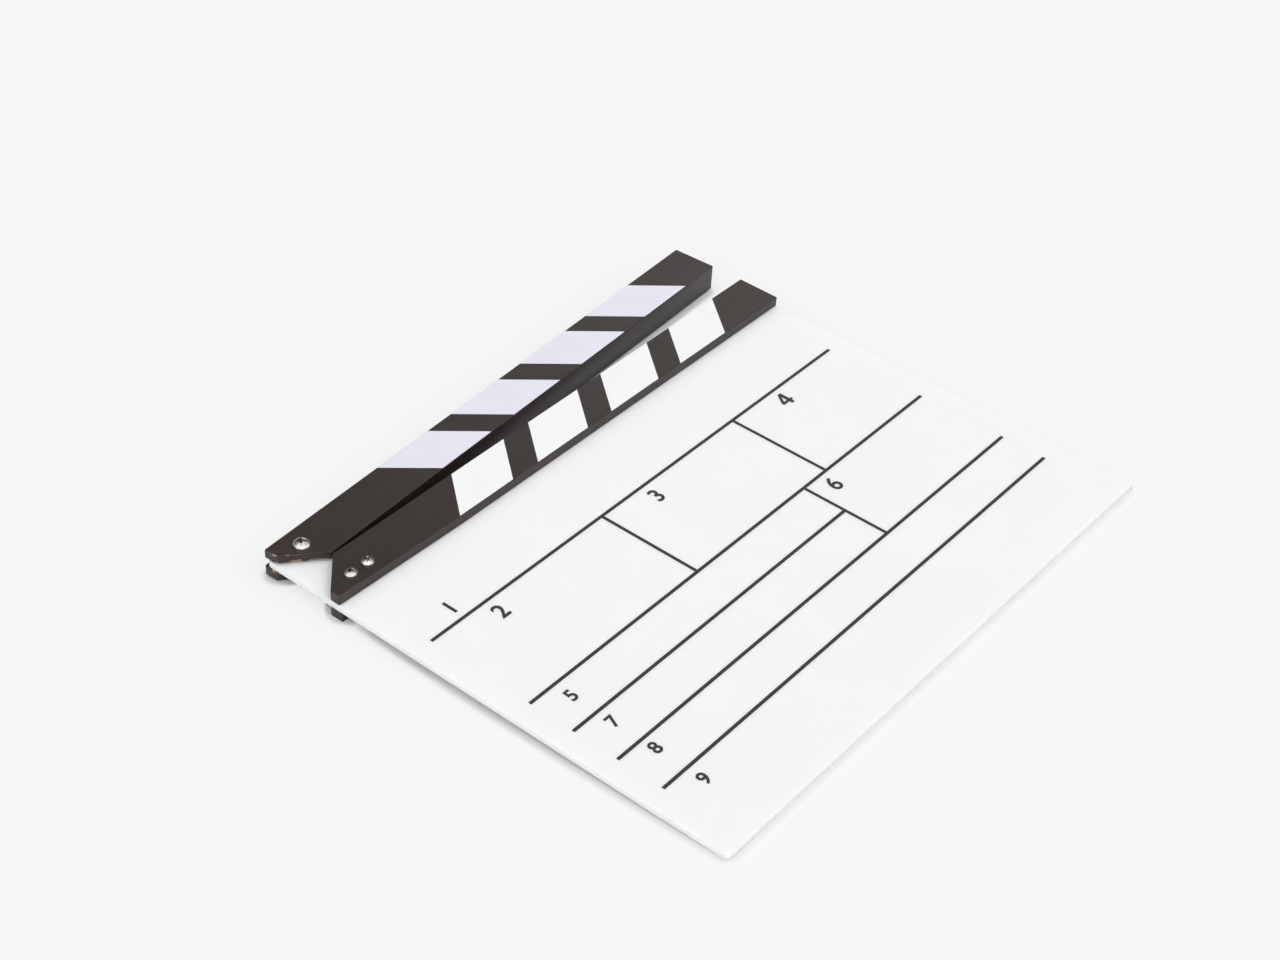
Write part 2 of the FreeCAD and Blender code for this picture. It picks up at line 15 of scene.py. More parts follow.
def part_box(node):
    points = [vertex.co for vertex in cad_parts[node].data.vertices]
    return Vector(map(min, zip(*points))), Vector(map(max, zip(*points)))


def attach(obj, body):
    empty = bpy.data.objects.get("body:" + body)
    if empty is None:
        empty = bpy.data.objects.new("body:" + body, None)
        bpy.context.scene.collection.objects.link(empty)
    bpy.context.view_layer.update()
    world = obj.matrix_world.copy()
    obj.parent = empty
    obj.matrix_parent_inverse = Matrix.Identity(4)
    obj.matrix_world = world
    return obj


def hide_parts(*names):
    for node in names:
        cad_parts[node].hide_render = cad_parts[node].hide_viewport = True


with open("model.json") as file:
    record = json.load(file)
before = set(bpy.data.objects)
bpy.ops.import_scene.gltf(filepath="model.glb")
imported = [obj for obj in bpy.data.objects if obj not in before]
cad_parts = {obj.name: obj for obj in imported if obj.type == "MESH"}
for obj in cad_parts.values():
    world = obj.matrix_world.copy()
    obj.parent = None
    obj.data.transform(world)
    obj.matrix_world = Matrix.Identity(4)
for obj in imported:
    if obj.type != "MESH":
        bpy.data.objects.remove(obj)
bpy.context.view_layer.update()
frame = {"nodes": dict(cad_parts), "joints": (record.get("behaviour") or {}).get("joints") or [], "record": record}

MM = 0.001
WELD = 0.001 * MM

scene = bpy.context.scene
nodes = frame["nodes"]
hinge = frame["joints"][0]
slate_low, slate_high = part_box("slate_board")
rear_strip_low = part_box("lower_stick_rear")[0]
front_strip_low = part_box("lower_stick_front")[0]
ink_low, ink_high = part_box("printed_rules")
pivot = Vector(hinge["pos_m"])

# Clapper's angle to the fixed stick at rest.
CLAPPER_TURN = math.radians(3.25)

# Direction square to the sticks' mitred ends, without signs, from the mitre's run and rise in mm.
MITRE_RUN = 17.2
MITRE_RISE = 15.9
MITRE_SQUARE = Vector((MITRE_RISE, MITRE_RUN, 0.0)).normalized()

# How squarely a surface faces one of a stick's main directions: on a flat face, and where wear is full.
FLAT_FACING = 0.97
CORNER_FACING = 0.78

# Wear at the clapper's hinge end, in mm with the clapper closed. Each gouge runs along a line on the
# surface: its start, its end, the way into the wood, the distance to the side at which its bottom has
# risen by GOUGE_CURVE, its depths from start to end, and the finish that it bares.
CLAPPER_HEEL = Vector((-148.0, 28.5, 11.0))
SLOT_FRONT = 9.5
SLOT_BACK = 4.65
STICK_FRONT = 13.3
FLAT_CUT = 8.0
PAINT, WOOD, SCUFF = range(3)
GOUGES = [
    (Vector((-140.0, 19.63, SLOT_FRONT)), Vector((-131.75, 12.0, SLOT_FRONT)), Vector((0.6, 0.65, 0.75)),
     FLAT_CUT, [-0.2, 0.55, 0.6, 0.5, 0.3, -0.2], PAINT),
    (Vector((-145.4, 24.62, 9.6)), Vector((-140.7, 20.28, 9.6)), Vector((0.679, 0.734, 0.0)),
     0.85, [-0.2, 0.25, 0.45, 0.3, 0.6, 0.5, -0.2], WOOD),
    (Vector((-148.95, 27.9, 9.0)), Vector((-148.95, 27.9, 13.8)), Vector((0.93, 0.37, 0.0)),
     FLAT_CUT, [0.75, 0.6, 0.45, 0.3], PAINT),
    (Vector((-149.0, 30.6, STICK_FRONT)), Vector((-148.25, 27.1, STICK_FRONT)), Vector((0.75, 0.2, -0.75)),
     FLAT_CUT, [-0.2, 0.3, 0.38, 0.3, -0.2], SCUFF),
    (Vector((-145.9, 25.08, STICK_FRONT)), Vector((-144.7, 23.97, STICK_FRONT)), Vector((0.5, 0.55, -0.8)),
     FLAT_CUT, [-0.2, 0.25, 0.25, -0.2], SCUFF),
    (Vector((-148.95, 31.0, SLOT_BACK)), Vector((-146.6, 25.2, SLOT_BACK)), Vector((0.7, 0.3, -0.7)),
     FLAT_CUT, [-0.2, 0.35, 0.55, 0.6, 0.5, -0.2], WOOD),
]
GOUGE_STEPS = 18
GOUGE_COLUMNS = 6
GOUGE_REACH = 1.6
GOUGE_CURVE = 0.45
GOUGE_LIFT = -0.8
GOUGE_RIPPLE = 0.22
RIPPLE_ALONG = 0.9
RIPPLE_ACROSS = 1.3
SHARP_EDGE = math.radians(32)

# Camera, found from the printed grid, the stripes and the sticks in the photograph.
CAMERA_PLACE = Vector((-0.64005, -0.52535, 0.6554))
CAMERA_TARGET = Vector((-0.00115, -0.04805, 0.0082))
CAMERA_ROLL = math.radians(4.04)
CAMERA_LENS = 65.42
SENSOR_WIDTH = 36.0

# Floor. It throws light back at the board in its own colour. Where the camera or a reflection sees it, the
# share FLOOR_GLOW of what shows is plain white instead, but not where pieces within FLOOR_REACH wall it in:
# this share starts at an openness of FLOOR_WALLED and is full at FLOOR_OPEN.
FLOOR_SPAN = 8.0
FLOOR_COLOUR = (0.78, 0.78, 0.78, 1.0)
FLOOR_GLOW = 0.67
FLOOR_REACH = 5.5 * MM
FLOOR_WALLED = 0.76
FLOOR_OPEN = 0.88

# Studio. The shares of the lamps, the even sky and the panel add up to about 1, the level at which a
# colour renders as written. The panel is a bright part of the sky low down behind the tips.
SKY_LEVEL = 0.18
PANEL_LEVEL = 1.1
PANEL_TOWARDS = Vector((0.75, 0.42, 0.48)).normalized()
PANEL_EDGE = math.radians(25)
PANEL_FULL = math.radians(5)
PALE_SKY = 0.93
LAMPS = [
    # Name, azimuth, elevation, spread in degrees, share of the light.
    ("front", -60, 42, 90, 0.34),
    ("key", 40, 47, 70, 0.21),
    ("back_left", -125, 45, 60, 0.10),
    ("overhead", -15, 75, 80, 0.15),
]

# Swing marks on the slate by the hinge: how fine they are across, per metre, and along, per radian, and
# the distances from the pivot, in mm, at which they end and are full.
ARCS_ACROSS = 1600.0
ARCS_ALONG = 1.6
ARCS_END = 24
ARCS_FULL = 12

# Screw heads, in shares of a head's width: edge and full part of the crown, whose stain is partly a
# painted dark reflection; edge and full part of the cross recess; depths below the dome at which the
# recess's painted shade starts and covers all. The dome's drop is its curve times the distance squared,
# over the width.
CROWN_EDGE = 0.44
CROWN_FULL = 0.35
RECESS_EDGE = 0.36
RECESS_FULL = 0.33
RECESS_SHADE_START = 0.02
RECESS_SHADE_FULL = 0.08
DOME_CURVE = 0.85

# Printed numerals: text, left edge and baseline in mm from the slate's lower left corner, height in mm.
NUMERALS = [
    ("1", 29.5, 164.3, 8.0),
    ("2", 40.0, 147.3, 8.5),
    ("3", 142.5, 147.3, 8.5),
    ("4", 236.5, 147.8, 8.5),
    ("5", 23.0, 94.8, 6.7),
    ("6", 202.5, 94.5, 8.9),
    ("7", 23.0, 73.4, 6.7),
    ("8", 23.0, 52.0, 6.7),
    ("9", 23.0, 27.9, 6.7),
]
FONT_DIGIT_HEIGHT = 0.7
NUMERAL_BOLDER = 0.18

# The numeral 4 at height 1, drawn here because the font's own closes up when it is made bolder.
FOUR_OUTLINE = [(0.47, 0.0), (0.68, 0.0), (0.68, 0.2), (0.8, 0.2), (0.8, 0.37), (0.68, 0.37),
                (0.68, 1.0), (0.45, 1.0), (0.0, 0.36), (0.0, 0.2), (0.47, 0.2)]
FOUR_COUNTER = [(0.47, 0.37), (0.47, 0.76), (0.2, 0.37)]

# Colours.
WHITE = (1.0, 1.0, 1.0, 1.0)
PAINT_DARK = (0.0165, 0.0098, 0.0080, 1.0)
PAINT_LIGHT = (0.0245, 0.0150, 0.0122, 1.0)
PAINT_RUBBED = (0.085, 0.066, 0.056, 1.0)
PAINT_BROWNED = (0.050, 0.026, 0.015, 1.0)
WOOD_DARK = (0.21, 0.13, 0.070, 1.0)
WOOD_LIGHT = (0.62, 0.44, 0.28, 1.0)
WOOD_GRIME = (0.05, 0.030, 0.020, 1.0)
SCUFF_DARK = (0.15, 0.115, 0.095, 1.0)
SCUFF_LIGHT = (0.36, 0.29, 0.25, 1.0)
ACRYLIC_WHITE = (0.915, 0.915, 0.915, 1.0)
ACRYLIC_CLOUD = (0.900, 0.902, 0.905, 1.0)
ACRYLIC_SCUFF = (0.60, 0.61, 0.64, 1.0)
INK_DARK = (0.034, 0.027, 0.0265, 1.0)
INK_LIGHT = (0.052, 0.043, 0.042, 1.0)
WHITE_FILM = ((0.925, 0.925, 0.925, 1.0), (0.905, 0.905, 0.91, 1.0))
LILAC_FILM = ((0.80, 0.785, 0.875, 1.0), (0.775, 0.765, 0.85, 1.0))
NICKEL_BRIGHT = (0.80, 0.785, 0.76, 1.0)
NICKEL_DULL = (0.58, 0.56, 0.53, 1.0)
# Stain specks on a screw's crown, partly a painted dark reflection.
NICKEL_STAIN_AND_DARK_REFLECTION = (0.25, 0.24, 0.215, 1.0)
# Painted shade in a screw's cross recess.
NICKEL_RECESS_SHADE = (0.11, 0.10, 0.088, 1.0)
FIBRE_DARK = (0.16, 0.05, 0.03, 1.0)
FIBRE_LIGHT = (0.32, 0.11, 0.06, 1.0)
TAPE_DARK = (0.58, 0.56, 0.50, 1.0)
TAPE_LIGHT = (0.72, 0.70, 0.64, 1.0)


class Nodes:
    """Short calls that add nodes to a tree and join them."""

    def __init__(self, tree):
        self.tree = tree

    def feed(self, sockets, inputs):
        """Links an input to its value where that is a socket, and otherwise sets it."""
        for key, value in inputs.items():
            if isinstance(value, bpy.types.NodeSocket):
                self.tree.links.new(value, sockets[key])
            else:
                sockets[key].default_value = value

    def node(self, kind, inputs, **settings):
        made = self.tree.nodes.new(kind)
        for setting, value in settings.items():
            setattr(made, setting, value)
        self.feed(made.inputs, inputs)
        return made

    def remap(self, value, low, high, to_low=0.0, to_high=1.0, **settings):
        inputs = {"Value": value, "From Min": low, "From Max": high, "To Min": to_low, "To Max": to_high}
        return self.node("ShaderNodeMapRange", inputs, **settings).outputs["Result"]

    def combine(self, operation, first, second=0.0):
        return self.node("ShaderNodeMath", {0: first, 1: second}, operation=operation).outputs["Value"]


class Finish(Nodes):
    """A principled material, with patterns in the piece's own coordinates."""

    def __init__(self, name):
        self.material = bpy.data.materials.new(name)
        self.material.use_nodes = True
        super().__init__(self.material.node_tree)
        self.shader = self.tree.nodes["Principled BSDF"]

    def surface(self, inputs):
        self.feed(self.shader.inputs, inputs)

    def place(self):
        return self.node("ShaderNodeTexCoord", {}).outputs["Object"]

    def space(self, size, turn=0.0):
        """The piece's own coordinates, turned about Z and counted in grains of this size in metres."""
        inputs = {"Vector": self.place(), "Rotation": (0.0, 0.0, turn), "Scale": size}
        return self.node("ShaderNodeMapping", inputs, vector_type="TEXTURE").outputs["Vector"]

    def noise(self, size, turn=0.0, detail=4.0, distortion=0.0):
        inputs = {
            "Vector": self.space(size, turn),
            "Scale": 1.0,
            "Detail": detail,
            "Distortion": distortion,
        }
        return self.node("ShaderNodeTexNoise", inputs).outputs["Fac"]

    def mix(self, share, first, second):
        node = self.node("ShaderNodeMix", {}, data_type="RGBA")
        sockets = {socket.name: socket for socket in node.inputs if socket.enabled}
        self.feed(sockets, {"Factor": share, "A": first, "B": second})
        return next(socket for socket in node.outputs if socket.enabled)

    def bump(self, height, depth, below=None):
        inputs = {"Height": height, "Distance": depth, "Strength": 1.0}
        if below is not None:
            inputs["Normal"] = below
        return self.node("ShaderNodeBump", inputs).outputs["Normal"]

    def around(self, centre):
        """Distance from the upright axis through a point, angle round it and height above the point."""
        inputs = {0: self.place(), 1: centre}
        offset = self.node("ShaderNodeVectorMath", inputs, operation="SUBTRACT").outputs["Vector"]
        parts = self.node("ShaderNodeSeparateXYZ", {"Vector": offset}).outputs
        flat = self.node("ShaderNodeCombineXYZ", {"X": parts["X"], "Y": parts["Y"]}).outputs["Vector"]
        distance = self.node("ShaderNodeVectorMath", {0: flat}, operation="LENGTH").outputs["Value"]
        return distance, self.combine("ARCTAN2", parts["Y"], parts["X"]), parts["Z"]

    def corners(self, turn, mitre):
        """0 on a stick's flat faces, rising where the surface turns the corner from one to another."""
        normal = self.node("ShaderNodeTexCoord", {}).outputs["Normal"]
        inputs = {"Vector": normal, "Rotation": (0.0, 0.0, turn)}
        level = self.node("ShaderNodeMapping", inputs, vector_type="TEXTURE").outputs["Vector"]
        sizes = self.node("ShaderNodeVectorMath", {0: level}, operation="ABSOLUTE").outputs["Vector"]
        parts = self.node("ShaderNodeSeparateXYZ", {"Vector": sizes}).outputs
        across = self.node("ShaderNodeVectorMath", {0: sizes, 1: mitre}, operation="DOT_PRODUCT")
        flatness = self.combine("MAXIMUM", parts["X"], parts["Y"])
        flatness = self.combine("MAXIMUM", flatness, parts["Z"])
        flatness = self.combine("MAXIMUM", flatness, across.outputs["Value"])
        return self.remap(flatness, FLAT_FACING, CORNER_FACING)


def painted_wood(name, heel, turn=0.0):
    """Satin black paint over wood: faint streaks, rubbed corners, browned and scuffed round the heel."""
    finish = Finish(name)
    streaks = finish.noise((0.070, 0.0030, 0.0030), turn, detail=5.0)
    pores = finish.noise((0.010, 0.0005, 0.0005), turn, detail=3.0)
    clouds = finish.noise((0.030, 0.018, 0.018), turn, detail=3.0)
    specks = finish.noise((0.0012, 0.0012, 0.0012), detail=2.0)
    patches = finish.noise((0.012, 0.006, 0.006), turn, detail=5.0)
    blots = finish.noise((0.0035, 0.0025, 0.0025), turn, detail=4.0)
    streak_tone = finish.remap(streaks, 0.3, 0.7, 0.0, 0.5)
    cloud_tone = finish.remap(clouds, 0.3, 0.7, 0.0, 0.5)
    paint = finish.mix(finish.combine("ADD", streak_tone, cloud_tone), PAINT_DARK, PAINT_LIGHT)
    by_heel = finish.remap(finish.around(heel)[0], 16 * MM, 5 * MM)
    browned = finish.combine("MULTIPLY", by_heel, finish.remap(blots, 0.42, 0.66, 0.0, 0.7))
    paint = finish.mix(browned, paint, PAINT_BROWNED)
    edge_wear = finish.combine("ADD", finish.remap(patches, 0.50, 0.68, 0.0, 0.7), by_heel)
    rubbed = finish.combine("MULTIPLY", finish.corners(turn, MITRE_SQUARE), edge_wear)
    paint = finish.mix(rubbed, paint, PAINT_RUBBED)
    paint = finish.mix(finish.remap(specks, 0.70, 0.80, 0.0, 0.22), paint, PAINT_RUBBED)
    relief = finish.bump(streaks, 0.03 * MM)
    relief = finish.bump(pores, 0.012 * MM, relief)
    finish.surface({
        "Base Color": paint,
        "Roughness": finish.remap(clouds, 0.25, 0.75, 0.30, 0.40),
        "Specular IOR Level": 0.45,
        "Normal": relief,
    })
    return finish.material


def bared(name, tones, stain):
    """What shows where the paint is gone: fibres along the stick, stained in places."""
    finish = Finish(name)
    dark, light = tones
    fibres = finish.noise((0.0050, 0.00035, 0.00035), CLAPPER_TURN, detail=4.0, distortion=0.4)
    stains = finish.noise((0.0030, 0.0020, 0.0012), detail=3.0)
    wood = finish.mix(finish.remap(fibres, 0.32, 0.62), dark, light)
    finish.surface({
        "Base Color": finish.mix(finish.remap(stains, 0.50, 0.72, 0.0, 0.8), wood, stain),
        "Roughness": finish.remap(fibres, 0.3, 0.7, 0.70, 0.88),
        "Specular IOR Level": 0.2,
        "Normal": finish.bump(fibres, 0.08 * MM),
    })
    return finish.material


def acrylic():
    """White sheet that lets some light through, with hairline scratches and swing marks by the hinge."""
    finish = Finish("acrylic_sheet")
    clouds = finish.noise((0.045, 0.045, 0.045), detail=4.0)
    white = finish.mix(finish.remap(clouds, 0.35, 0.65), ACRYLIC_WHITE, ACRYLIC_CLOUD)
    distance, angle, height = finish.around(pivot)
    ring = {
        "X": finish.combine("MULTIPLY", distance, ARCS_ACROSS),
        "Y": finish.combine("MULTIPLY", angle, ARCS_ALONG),
    }
    ring_space = finish.node("ShaderNodeCombineXYZ", ring).outputs["Vector"]
    inputs = {"Vector": ring_space, "Scale": 1.0, "Detail": 3.0}
    arcs = finish.node("ShaderNodeTexNoise", inputs).outputs["Fac"]
    by_hinge = finish.remap(distance, ARCS_END * MM, ARCS_FULL * MM)
    front_face = slate_high.z - pivot.z
    by_hinge = finish.combine("MULTIPLY", by_hinge, finish.remap(height, front_face - 0.1 * MM, front_face))
    marks = finish.combine("MULTIPLY", finish.remap(arcs, 0.52, 0.66, 0.0, 0.2), by_hinge)
    white = finish.mix(marks, white, ACRYLIC_SCUFF)
    hairs = finish.noise((0.060, 0.0006, 0.01), math.radians(24), detail=2.0)
    hairs = finish.combine("ABSOLUTE", finish.combine("SUBTRACT", hairs, 0.5))
    sparse = finish.remap(finish.noise((0.03, 0.03, 0.03), detail=2.0), 0.52, 0.62)
    hairs = finish.combine("MULTIPLY", finish.remap(hairs, 0.0, 0.012, 1.0, 0.0), sparse)
    gloss = finish.remap(clouds, 0.3, 0.7, 0.34, 0.44)
    finish.surface({
        "Base Color": white,
        "Roughness": finish.combine("ADD", gloss, finish.combine("MULTIPLY", hairs, 0.2)),
        "Specular IOR Level": 0.2,
        "Subsurface Weight": 0.7,
        "Subsurface Radius": (1.0, 1.0, 1.0),
        "Subsurface Scale": 2.0 * MM,
        "Normal": finish.bump(hairs, -0.004 * MM),
    })
    return finish.material


def ink():
    """Screen-printed ink, a little uneven."""
    finish = Finish("printing_ink")
    mottle = finish.noise((0.0016, 0.0016, 0.0016), detail=5.0)
    drift = finish.noise((0.035, 0.035, 0.035), detail=2.0)
    mottle_tone = finish.remap(mottle, 0.3, 0.7, 0.0, 0.7)
    drift_tone = finish.remap(drift, 0.3, 0.7, 0.0, 0.3)
    finish.surface({
        "Base Color": finish.mix(finish.combine("ADD", mottle_tone, drift_tone), INK_DARK, INK_LIGHT),
        "Roughness": finish.remap(mottle, 0.3, 0.7, 0.45, 0.62),
        "Specular IOR Level": 0.3,
        "Normal": finish.bump(mottle, 0.006 * MM),
    })
    return finish.material


def film(name, tones):
    """Self-adhesive film, slightly clouded and not quite flat."""
    finish = Finish(name)
    light, dark = tones
    clouds = finish.noise((0.010, 0.010, 0.010), detail=5.0)
    ripple = finish.noise((0.006, 0.004, 0.004), detail=3.0)
    finish.surface({
        "Base Color": finish.mix(finish.remap(clouds, 0.35, 0.65), light, dark),
        "Roughness": finish.remap(ripple, 0.3, 0.7, 0.42, 0.54),
        "Specular IOR Level": 0.2,
        "Normal": finish.bump(ripple, 0.03 * MM),
    })
    return finish.material


def nickel(name, screw=None):
    """Bright plate with dull patches and scratches. A screw's crown carries stain specks that are partly a
    painted dark reflection, and its cross recess is darkened with painted shade.
    """
    finish = Finish(name)
    patches = finish.noise((0.0014, 0.0014, 0.0014), detail=5.0)
    scratches = finish.noise((0.0020, 0.00012, 0.0006), math.radians(35), detail=3.0)
    plate = finish.mix(finish.remap(patches, 0.4, 0.7), NICKEL_BRIGHT, NICKEL_DULL)
    if screw is not None:
        low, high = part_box(screw)
        width = high.x - low.x
        top = Vector(((low.x + high.x) / 2, (low.y + high.y) / 2, high.z))
        distance, _, height = finish.around(top)
        specks = finish.noise((0.0007, 0.0007, 0.0007), detail=3.0)
        # The crown's stain specks are partly a painted dark reflection of the dim room above the far side.
        crown = finish.remap(distance, CROWN_EDGE * width, CROWN_FULL * width)
        stain_and_reflection = finish.combine("MULTIPLY", finish.remap(specks, 0.40, 0.58, 0.25, 0.95), crown)
        plate = finish.mix(stain_and_reflection, plate, NICKEL_STAIN_AND_DARK_REFLECTION)
        # Painted shade inside the cross recess, darker the deeper a point lies below the dome.
        dome_drop = finish.combine("MULTIPLY", finish.combine("POWER", distance, 2.0), DOME_CURVE / width)
        depth = finish.combine("SUBTRACT", finish.combine("MULTIPLY", height, -1.0), dome_drop)
        recess = finish.remap(depth, RECESS_SHADE_START * width, RECESS_SHADE_FULL * width)
        inside = finish.remap(distance, RECESS_EDGE * width, RECESS_FULL * width)
        recess = finish.combine("MULTIPLY", recess, inside)
        plate = finish.mix(recess, plate, NICKEL_RECESS_SHADE)
    finish.surface({
        "Base Color": plate,
        "Metallic": 1.0,
        "Roughness": finish.remap(patches, 0.3, 0.7, 0.18, 0.32),
        "Normal": finish.bump(scratches, 0.004 * MM, finish.bump(patches, 0.006 * MM)),
    })
    return finish.material


def speckled(name, tones, grain, roughness):
    """Matt sheet stock whose colour and relief both follow one fine grain."""
    finish = Finish(name)
    dark, light = tones
    fleck = finish.noise((grain, grain, grain), detail=5.0)
    finish.surface({
        "Base Color": finish.mix(finish.remap(fleck, 0.3, 0.7), dark, light),
        "Roughness": finish.remap(fleck, 0.3, 0.7, roughness - 0.06, roughness + 0.06),
        "Normal": finish.bump(fleck, 0.02 * MM),
    })
    return finish.material


def at_rest(point):
    """A point of the closed clapper, in mm, where it is at rest, in metres."""
    return pivot + Matrix.Rotation(CLAPPER_TURN, 3, "Z") @ (point * MM - pivot)


def dress_frame():
    """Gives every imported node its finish, by the record's material slots."""
    finishes = {
        "acrylic": acrylic(),
        "ink": ink(),
        "painted_wood": painted_wood("black_paint_fixed_stick", front_strip_low),
        "lower_stripe": film("white_film", WHITE_FILM),
        "upper_stripe": film("lilac_white_film", LILAC_FILM),
        "nickel": nickel("nickel_plate"),
        "fibre": speckled("vulcanised_fibre", (FIBRE_DARK, FIBRE_LIGHT), 0.0004, 0.7),
        "tape": speckled("bonding_tape", (TAPE_DARK, TAPE_LIGHT), 0.0008, 0.6),
    }
    for subpart in frame["record"]["subparts"]:
        nodes[subpart["node"]].material_slots[0].material = finishes[subpart["material_slot"]]
    for screw in ("pivot_screw", "stick_screw_left", "stick_screw_right"):
        nodes[screw].material_slots[0].material = nickel(f"nickel_{screw}", screw)
    paint = painted_wood("black_paint_clapper", at_rest(CLAPPER_HEEL), CLAPPER_TURN)
    nodes["upper_stick"].material_slots[0].material = paint
    return finishes


def weld(mesh):
    """Joins the points of a mesh that lie on top of each other."""
    shape = bmesh.new()
    shape.from_mesh(mesh)
    bmesh.ops.remove_doubles(shape, verts=shape.verts, dist=WELD)
    shape.to_mesh(mesh)
    shape.free()


def gouge_mesh(start, end, inward, rise_distance, depths, finish_index, seed):
    """Cutter along a line of the closed clapper, in mm, whose rough inner face lies at the depths."""
    shape = bmesh.new()
    along = (end - start).normalized()
    inward = (inward - along * inward.dot(along)).normalized()
    across = along.cross(inward)
    rings = []
    for step in range(GOUGE_STEPS + 1):
        share = step / GOUGE_STEPS
        place = share * (len(depths) - 1)
        before = min(int(place), len(depths) - 2)
        depth = depths[before] + (depths[before + 1] - depths[before]) * (place - before)
        base = start.lerp(end, share)
        ring = []
        for column in range(GOUGE_COLUMNS + 1):
            side = (2.0 * column / GOUGE_COLUMNS - 1.0) * GOUGE_REACH
            ripple = GOUGE_RIPPLE * noise.noise(Vector((RIPPLE_ALONG * step, RIPPLE_ACROSS * column, seed)))
            sunk = max(depth - GOUGE_CURVE * (side / rise_distance) ** 2, GOUGE_LIFT) + ripple
            ring.append(shape.verts.new(at_rest(base + inward * sunk + across * side)))
        ring.append(shape.verts.new(at_rest(base - inward * GOUGE_REACH)))
        rings.append(ring)
    for ring, following in zip(rings, rings[1:]):
        for i in range(len(ring)):
            after = (i + 1) % len(ring)
            shape.faces.new((ring[i], ring[after], following[after], following[i]))
    shape.faces.new(rings[0])
    shape.faces.new(rings[-1])
    bmesh.ops.triangulate(shape, faces=shape.faces)
    bmesh.ops.recalc_face_normals(shape, faces=shape.faces)
    for face in shape.faces:
        face.material_index = finish_index
    mesh = bpy.data.meshes.new("gouge")
    shape.to_mesh(mesh)
    shape.free()
    return mesh


def wear_clapper():
    """Clapper with the chips and rubbed edges of its hinge end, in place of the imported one."""
    mesh = nodes["upper_stick"].data.copy()
    weld(mesh)
    mesh.materials.append(bared("torn_wood", (WOOD_DARK, WOOD_LIGHT), WOOD_GRIME))
    mesh.materials.append(bared("scuffed_paint", (SCUFF_DARK, SCUFF_LIGHT), PAINT_RUBBED))
    piece = bpy.data.objects.new("worn_clapper", mesh)
    scene.collection.objects.link(piece)
    cutters = []
    for seed, gouge in enumerate(GOUGES):
        cutter = bpy.data.objects.new("gouge", gouge_mesh(*gouge, seed))
        for material in mesh.materials:
            cutter.data.materials.append(material)
        scene.collection.objects.link(cutter)
        cutters.append(cutter)
        cut = piece.modifiers.new("gouge", "BOOLEAN")
        cut.operation = "DIFFERENCE"
        cut.solver = "EXACT"
        cut.object = cutter
    worn = bpy.data.meshes.new_from_object(piece.evaluated_get(bpy.context.evaluated_depsgraph_get()))
    piece.modifiers.clear()
    piece.data = worn
    for cutter in cutters:
        bpy.data.objects.remove(cutter)
    for polygon in worn.polygons:
        polygon.use_smooth = True
    worn.set_sharp_from_angle(angle=SHARP_EDGE)
    piece.modifiers.new("even_shading", "WEIGHTED_NORMAL").keep_sharp = True
    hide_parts("upper_stick")
    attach(piece, "clapper")


def numeral_outline(text, height):
    """Flat outline of a bold numeral of this height in mm, as a curve."""
    if text != "4":
        curve = bpy.data.curves.new(f"numeral_outline_{text}", "FONT")
        curve.body = text
        curve.size = (height - 2 * NUMERAL_BOLDER) / FONT_DIGIT_HEIGHT * MM
        curve.offset = NUMERAL_BOLDER * MM
        return curve
    curve = bpy.data.curves.new(f"numeral_outline_{text}", "CURVE")
    curve.dimensions = "2D"
    curve.fill_mode = "BOTH"
    for corners in (FOUR_OUTLINE, FOUR_COUNTER):
        line = curve.splines.new("POLY")
        line.points.add(len(corners) - 1)
        for point, (x, y) in zip(line.points, corners):
            point.co = (x * height * MM, y * height * MM, 0.0, 1.0)
        line.use_cyclic_u = True
    return curve


def add_numeral(text, left, baseline, height, material):
    """One numeral as a thin plate of ink on the slate. Places and sizes are in mm."""
    curve = numeral_outline(text, height)
    curve.extrude = (ink_high.z - ink_low.z) / 2
    outline = bpy.data.objects.new(curve.name, curve)
    scene.collection.objects.link(outline)
    mesh = bpy.data.meshes.new_from_object(outline.evaluated_get(bpy.context.evaluated_depsgraph_get()))
    bpy.data.objects.remove(outline)
    lowest = Vector(min(vertex.co[axis] for vertex in mesh.vertices) for axis in range(3))
    corner = Vector((slate_low.x + left * MM, slate_low.y + baseline * MM, ink_low.z))
    mesh.transform(Matrix.Translation(corner - lowest))
    weld(mesh)
    mesh.materials.clear()
    mesh.materials.append(material)
    piece = bpy.data.objects.new(f"numeral_{text}", mesh)
    scene.collection.objects.link(piece)
    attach(piece, "slate")


def make_floor():
    """Pale floor under the two edges that the board rests on: its rear strip's and its slate's."""
    drop = slate_low.z - rear_strip_low.z
    run = rear_strip_low.y - slate_low.y
    half = FLOOR_SPAN / 2
    mesh = bpy.data.meshes.new("floor")
    corners = [(-half, -half, 0), (half, -half, 0), (half, half, 0), (-half, half, 0)]
    mesh.from_pydata(corners, [], [(0, 1, 2, 3)])
    floor = bpy.data.objects.new("floor", mesh)
    floor.location = (0.0, rear_strip_low.y, rear_strip_low.z)
    floor.rotation_euler = (-math.atan2(drop, run), 0.0, 0.0)
    scene.collection.objects.link(floor)
    finish = Finish("pale_paper")
    finish.surface({"Base Color": FLOOR_COLOUR, "Roughness": 0.9, "Specular IOR Level": 0.0})
    rays = finish.node("ShaderNodeLightPath", {}).outputs
    seen = finish.combine("MAXIMUM", rays["Is Camera Ray"], rays["Is Glossy Ray"])
    glow = finish.node("ShaderNodeEmission", {"Color": WHITE, "Strength": 1.0}).outputs["Emission"]
    openness = finish.node("ShaderNodeAmbientOcclusion", {"Distance": FLOOR_REACH}).outputs["AO"]
    lift = finish.remap(openness, FLOOR_WALLED, FLOOR_OPEN, 0.0, FLOOR_GLOW)
    shares = {0: finish.combine("MULTIPLY", seen, lift), 1: finish.shader.outputs["BSDF"], 2: glow}
    blend = finish.node("ShaderNodeMixShader", shares).outputs["Shader"]
    finish.feed(finish.tree.nodes["Material Output"].inputs, {"Surface": blend})
    mesh.materials.append(finish.material)


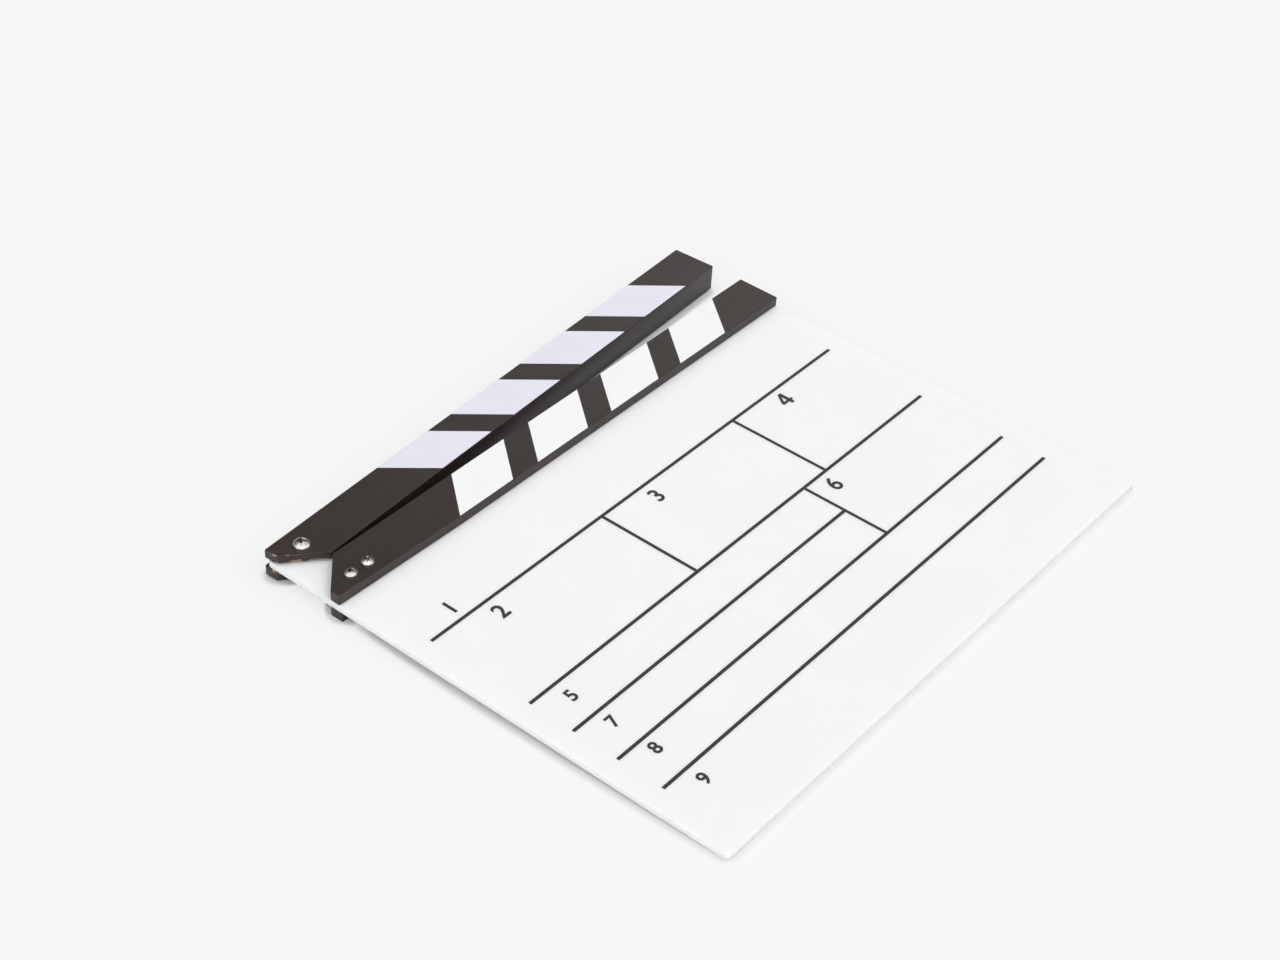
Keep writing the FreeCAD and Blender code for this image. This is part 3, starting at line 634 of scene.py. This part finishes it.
def add_sun(name, azimuth, elevation, spread, share):
    """Soft distant lamp. Azimuth 0 stands on -Y and 90 on +X. Its share is of a level surface's light."""
    lamp = bpy.data.lights.new(name, "SUN")
    lamp.angle = math.radians(spread)
    lamp.energy = share * math.pi / math.sin(math.radians(elevation))
    sun = bpy.data.objects.new(name, lamp)
    turn = math.radians(azimuth)
    rise = math.radians(elevation)
    towards = Vector((math.sin(turn) * math.cos(rise), -math.cos(turn) * math.cos(rise), math.sin(rise)))
    sun.rotation_mode = "QUATERNION"
    sun.rotation_quaternion = towards.to_track_quat("Z", "Y")
    scene.collection.objects.link(sun)


def make_sky():
    """Even sky with one bright panel, pale where the camera sees it."""
    world = bpy.data.worlds.new("studio")
    world.use_nodes = True
    sky = Nodes(world.node_tree)
    direction = sky.node("ShaderNodeTexCoord", {}).outputs["Generated"]
    facing = sky.node("ShaderNodeVectorMath", {0: direction, 1: PANEL_TOWARDS}, operation="DOT_PRODUCT")
    edge = math.cos(PANEL_EDGE)
    full = math.cos(PANEL_FULL)
    towards_panel = facing.outputs["Value"]
    level = sky.remap(towards_panel, edge, full, SKY_LEVEL, PANEL_LEVEL, interpolation_type="SMOOTHSTEP")
    seen = sky.node("ShaderNodeLightPath", {}).outputs["Is Camera Ray"]
    shown = sky.combine("MAXIMUM", level, sky.combine("MULTIPLY", seen, PALE_SKY))
    background = sky.tree.nodes["Background"]
    sky.feed(background.inputs, {"Color": WHITE, "Strength": shown})
    scene.world = world


def make_camera():
    lens = bpy.data.cameras.new("camera")
    lens.sensor_width = SENSOR_WIDTH
    lens.lens = CAMERA_LENS
    camera = bpy.data.objects.new("camera", lens)
    camera.location = CAMERA_PLACE
    camera.rotation_mode = "QUATERNION"
    aim = (CAMERA_TARGET - CAMERA_PLACE).to_track_quat("-Z", "Y")
    camera.rotation_quaternion = aim @ Quaternion((0.0, 0.0, 1.0), CAMERA_ROLL)
    scene.collection.objects.link(camera)
    scene.camera = camera


scene.view_settings.view_transform = "Standard"
finishes = dress_frame()
wear_clapper()
for numeral in NUMERALS:
    add_numeral(*numeral, finishes["ink"])
make_floor()
make_sky()
for lamp_settings in LAMPS:
    add_sun(*lamp_settings)
make_camera()
